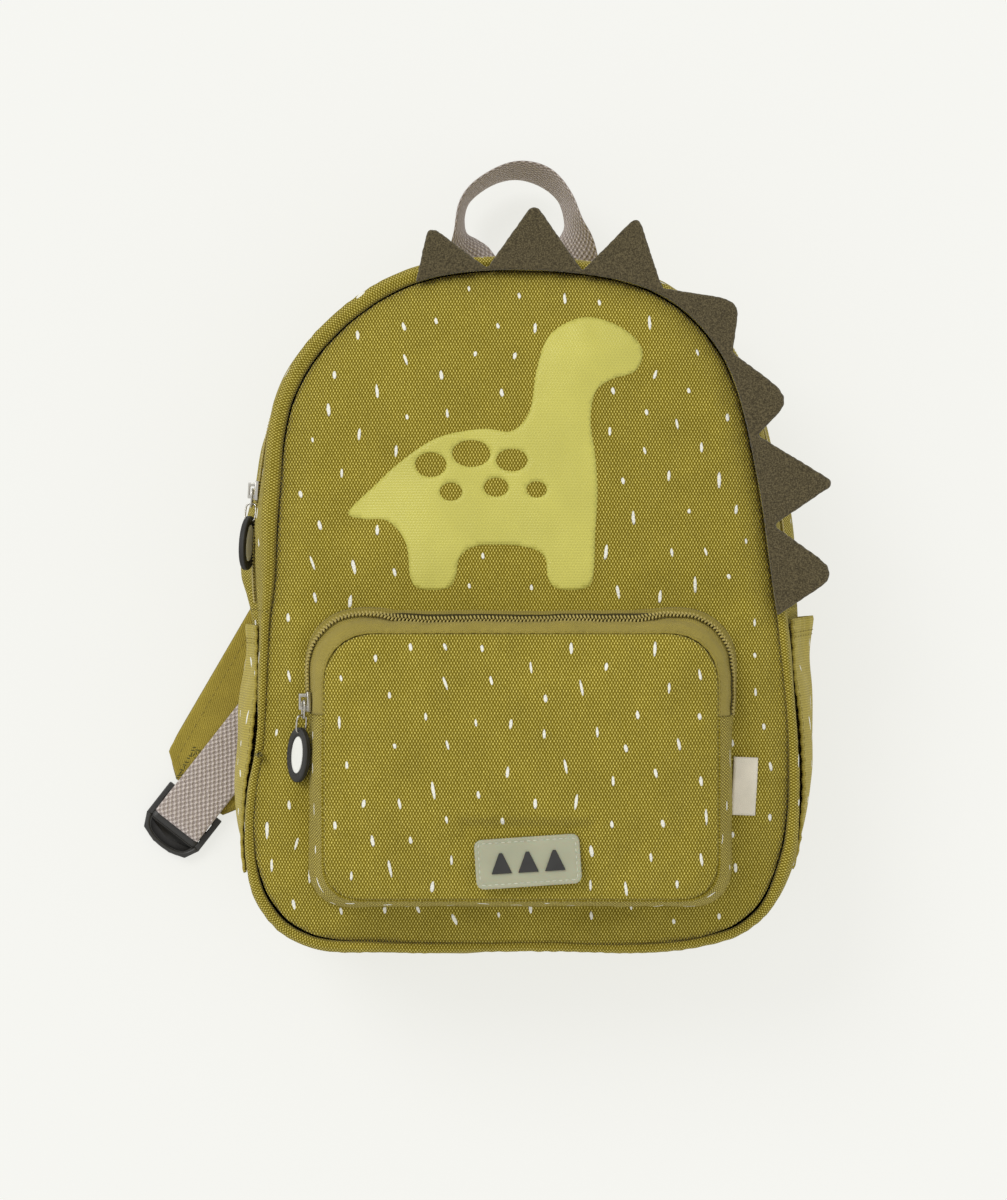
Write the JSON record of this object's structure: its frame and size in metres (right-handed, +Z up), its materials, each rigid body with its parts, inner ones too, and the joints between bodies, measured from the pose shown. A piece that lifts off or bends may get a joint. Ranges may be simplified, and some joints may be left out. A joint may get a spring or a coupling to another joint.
{
  "type": "kids animal backpack, lying flat on its straps",
  "caption": "Small olive canvas backpack with a rounded body, felt spikes down one side, a zipped front pocket, side pockets, a grab handle and padded straps",
  "frame": {"origin": "the middle of the box round the whole bag, at the level of the surface it lies on", "axes": "+Z up from the back to the front of the lying bag, +Y towards the grab handle at its top, +X to the right seen from the front"},
  "size_m": [0.3194, 0.3666, 0.1466],
  "materials": {
    "canvas": "matte olive dobby canvas with a fine light dot weave and a satin print",
    "side_canvas": "matte olive dobby canvas, no print",
    "back_fabric": "matte padded olive canvas",
    "zip_tape": "matte olive facing with a nylon coil",
    "felt": "matte dark brown wool felt",
    "webbing": "satin grey ribbed nylon webbing",
    "label_tape": "matte cream woven tape, blank",
    "buckle_plastic": "semi-matte black moulding",
    "pull_rubber": "matte black soft rubber",
    "pull_inset": "pale satin inlay",
    "patch_rubber": "translucent grey-green soft rubber, satin",
    "zip_metal": "bright nickel plate"
  },
  "bodies": {
    "root": {"front_panel": "canvas", "back_panel": "back_fabric", "side_wall_upper_front": "side_canvas", "side_wall_upper_back": "side_canvas", "side_wall_lower": "side_canvas", "main_zip": "zip_tape", "side_pocket_left": "side_canvas", "side_pocket_right": "side_canvas", "pocket_side": "canvas", "pocket_zip": "zip_tape", "pocket_face": "canvas", "spike_strip": "felt", "handle": "webbing", "strap_left": "canvas", "strap_tab_left": "canvas", "adjuster_left": "buckle_plastic", "webbing_left": "webbing", "anchor_tab_left": "canvas", "strap_right": "canvas", "strap_tab_right": "canvas", "adjuster_right": "buckle_plastic", "webbing_right": "webbing", "anchor_tab_right": "canvas", "main_zip_link": "zip_metal", "main_zip_oval": "pull_rubber", "main_zip_inset": "pull_inset", "main_zip_slider": "zip_metal", "main_zip_ring": "zip_metal", "pocket_zip_link": "zip_metal", "pocket_zip_oval": "pull_rubber", "pocket_zip_inset": "pull_inset", "pocket_zip_slider": "zip_metal", "pocket_zip_ring": "zip_metal", "patch": "patch_rubber", "patch_mark_1": "pull_rubber", "patch_mark_2": "pull_rubber", "patch_mark_3": "pull_rubber", "label": "label_tape"}
  },
  "joints": []
}
